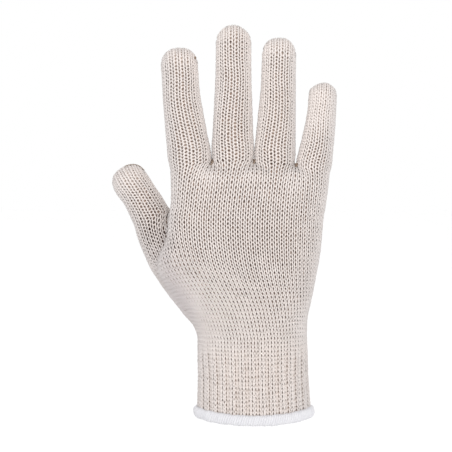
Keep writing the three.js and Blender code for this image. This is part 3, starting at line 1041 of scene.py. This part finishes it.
def closedCurve(points, samples=3):
    # A smooth closed curve through a ring of points, with samples from each point to the next.
    weights = curveWeights(np.arange(samples) / samples)
    parts = [w[:, None] * np.roll(points, 1 - i, 0)[:, None] for i, w in enumerate(weights)]
    return sum(parts).reshape(-1, 3)


def coilOf(centre, across, deepwards, rise, turns):
    # A coil that goes round in an ellipse and rises evenly, then comes back down through its middle.
    turn = np.linspace(0, turns * 2 * np.pi, turns * 8)[:, None]
    points = centre + np.cos(turn) * across + np.sin(turn) * deepwards + (turn / turn[-1] - 0.5) * rise
    down = centre + np.array([[0.35], [0], [-0.35]]) * rise
    return np.r_[points + dice.normal(0, 0.12, points.shape), down]


def closingPiece(name, curves, radius, material):
    # Tubes along closed curves; each tube's sides face away from its curve's middle.
    parts, faces, uvs, start, sides = [], [], [], 0, closingYarns["sides"]
    for curve in curves:
        curve = closedCurve(curve)
        outward = unit(curve - curve.mean(0) + np.array([0.01, -0.02, 0.03]))
        tube = tubesAlong(curve[None], outward[None], np.full((1, len(curve)), radius), sides)
        parts.append(tube.reshape(-1, 3))
        ring = gridFaces(1, len(curve), sides)
        faces.append(ring + start)
        uvs.append(np.stack([ring // sides / sides, ring % sides / sides], -1))
        start += len(parts[-1])
    return meshPiece(name, np.concatenate(parts), np.concatenate(faces), material, np.concatenate(uvs))


def crotchCurves():
    # Round the four stitches that meet at each crotch, with a loose end that lies on the front.
    curves = []
    webs = [(fingerRow - 1, half * (k + 2), half * (8 - k)) for k in range(3)]
    webs.append((thumbRow - 1, half, waleCount - half))
    for row, front, back in webs:
        centre = grid[row, [front - 1, front, back - 1, back]].mean(0)
        wide, deep = closingYarns["coilSize"]
        across, deepwards, rise = np.diag([wide, deep, closingYarns["coilRise"]])
        curves.append(coilOf(centre, across, deepwards, rise, closingYarns["coilTurns"]))
        down = np.linspace(0, 1, 6)[:, None]
        end = centre + [0.6, -deep - 0.4, 0.6] + down * np.array([-0.45, -0.5, -0.9]) * closingYarns["tail"]
        end[:, 0] += np.sin(down[:, 0] * 5) * 0.4
        curves.append(np.r_[end, end[::-1] + [0.55, 0, 0.3]])
    return curves


def linkCurve(group, firstWale, lastWale, below):
    # A zigzag along a tip's seam, and back again crossing it.
    steps = 2 * closingYarns["links"]
    column = np.linspace(firstWale, lastWale, steps)
    swing = np.where(np.arange(steps) % 2, 1, -1) * closingYarns["swing"]
    there, outward = onSurface(group, group["last"] - 0.5 - below + swing, column)
    back, backOutward = onSurface(group, group["last"] - 0.5 - below - swing[::-1], column[::-1])
    return np.r_[there - outward * 0.1, back + backOutward * 0.05]


def endKnot():
    group, knot = stalls["index_stall"], closingYarns["endKnot"]
    front = group["points"][:, :half]
    gap = np.hypot(front[..., 0] - knot["at"][0], front[..., 2] - knot["at"][1])
    spot = np.unravel_index(gap.argmin(), gap.shape)
    outward = group["outward"][:, :half][spot]
    across = np.cross(outward, [0, 0, 1])
    size = knot["size"]
    return coilOf(front[spot] + outward * 0.2, across * size, np.array([0, 0, size]), outward * size, 2)


tieYarn = cottonYarn("closing yarn", *closingYarns["tieColours"])
linkYarn = cottonYarn("linking yarn", *closingYarns["linkColours"])
ties = [*crotchCurves(), endKnot()]
dress(closingPiece("crotch_ties", ties, closingYarns["radius"], tieYarn), "cotton_knit")
links = [
    linkCurve(group, *closingYarns["thumbLinks" if name == "thumb_stall" else "fingerLinks"])
    for name, group in stalls.items()
]
dress(closingPiece("tip_links", links, closingYarns["linkRadius"], linkYarn), "cotton_knit")
print("closing yarns made")

# The overlocked hem: a soft core, and white thread wound round it on a slant
hem = {
    "wraps": 132,
    "samples": 18,
    "sides": 6,
    "thread": 0.94,
    "size": 0.78,  # of the helix, beside the hem's whole section
    "slant": 0.8,
    "boxiness": 0.8,  # power of the roll's section: 1 is an ellipse, less is squarer
    "unevenness": 0.045,  # from wrap to wrap
    "fuzziness": 0.05,  # of the thread's own thickness
    "top": 1.12,
    "core": {"steps": 120, "sides": 12, "size": 0.86},
}


def hemSection(share, turn, size):
    # A point on the hem's roll: share round the wrist, turn round the roll, size of the roll's section.
    spans = [(glove[k] - glove["hemThickness"] / 2) / 2 for k in ("hemWidth", "hemDepth")]
    wide, deep = [span + glove["wall"] / 4 for span in spans]
    x, y = oval(0, wide, deep, 2, share % 1)
    outward = unit(np.stack([x / wide**2, y / deep**2], -1))
    out = signedPower(np.cos(turn), hem["boxiness"]) * glove["hemThickness"] / 2 * size
    up = signedPower(np.sin(turn), hem["boxiness"]) * glove["hemHeight"] / 2 * size
    up = np.where(up > 0, up * hem["top"], up)
    dip = glove["hemSag"] * np.minimum(1, (y / (glove["hemDepth"] / 2)) ** 2)
    z = glove["hemHeight"] / 2 - dip + up
    return np.stack([x + outward[..., 0] * out, y + outward[..., 1] * out, z], -1)


def hemWrap(name):
    # One closed helix: the thread goes round the roll once a wrap, and leans along the hem as it does.
    wraps, samples = hem["wraps"], hem["samples"]
    step = np.arange(wraps * samples)
    turn = step / samples * 2 * np.pi
    perimeter = np.pi * (glove["hemWidth"] + glove["hemDepth"]) / 2
    uneven = dice.normal(0, hem["unevenness"], wraps + 1)
    size = hem["size"] + np.interp(step, np.arange(wraps + 1) * samples, uneven)
    share = step / len(step) + hem["slant"] * np.sin(turn) / perimeter
    path = hemSection(share, turn, size)
    outward = unit(path - hemSection(share, turn, 0 * size))
    radius = hem["thread"] * (1 + dice.normal(0, hem["fuzziness"], len(step)))
    points = tubesAlong(path[None], outward[None], radius[None], hem["sides"])
    return meshPiece(name, points, gridFaces(1, len(step), hem["sides"]), white)


def hemCore(name):
    # A plain closed roll inside the wraps.
    steps, sides, size = hem["core"].values()
    share, turn = np.meshgrid(np.arange(steps) / steps, np.arange(sides) / sides * 2 * np.pi, indexing="ij")
    points = hemSection(share.ravel(), turn.ravel(), size)
    return meshPiece(name, points, gridFaces(1, steps, sides), white)


dress(hemWrap("hem_thread_wraps"), "hem_thread", "overlock_hem")
dress(hemCore("hem_core"), "hem_thread", "overlock_hem")
print("hem made")

# Camera, light and floor
view = {"distance": 900.0, "elevation": 2.5, "target": (-17.4, 0, 118.4), "lens": 115.6}
camera = bpy.data.objects.new("camera", bpy.data.cameras.new("camera"))
camera.data.lens = view["lens"]
camera.data.sensor_width = 36
camera.data.clip_end = 20
lift = math.radians(view["elevation"])
camera.location = [
    (view["target"][k] + view["distance"] * (0, -math.cos(lift), math.sin(lift))[k]) * metre for k in range(3)
]
camera.rotation_euler = (math.radians(90) - lift, 0, 0)
scene.collection.objects.link(camera)
scene.camera = camera

ground = {"reach": 6000, "height": -70}
paleFloor = Finish("pale floor", {"Roughness": 0.9, "Base Color": (1, 1, 1, 1)}).material
corners = np.array([(-1, -1, 0), (1, -1, 0), (1, 1, 0), (-1, 1, 0)]) * ground["reach"]
floor = meshPiece("floor", corners + [0, 0, ground["height"]], np.array([[0, 1, 2, 3]]), paleFloor)
floor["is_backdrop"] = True

world = bpy.data.worlds.new("studio")
scene.world = world
world.use_nodes = True
background = world.node_tree.nodes["Background"]
background.inputs[0].default_value = (1, 1, 1, 1)
background.inputs[1].default_value = 1.0
scene.view_settings.view_transform = "Standard"

lights = {
    "key": {"place": (0.25, -1.45, 0.8), "size": 0.7, "power": 10.0, "colour": (1.0, 0.985, 0.98)},
    "fill": {"place": (-0.9, -1.1, 0.3), "size": 0.9, "power": 1.0, "colour": (0.93, 0.93, 1.0)},
}
for name, setting in lights.items():
    lamp = bpy.data.lights.new(name, "AREA")
    lamp.size, lamp.energy, lamp.color = setting["size"], setting["power"], setting["colour"]
    lightObject = bpy.data.objects.new(name, lamp)
    lightObject.location = setting["place"]
    towards = mathutils.Vector(view["target"]) * metre - lightObject.location
    lightObject.rotation_euler = towards.to_track_quat("-Z", "Y").to_euler()
    scene.collection.objects.link(lightObject)

shown = [list(corner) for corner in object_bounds()]
print("box", cadBox, shown)
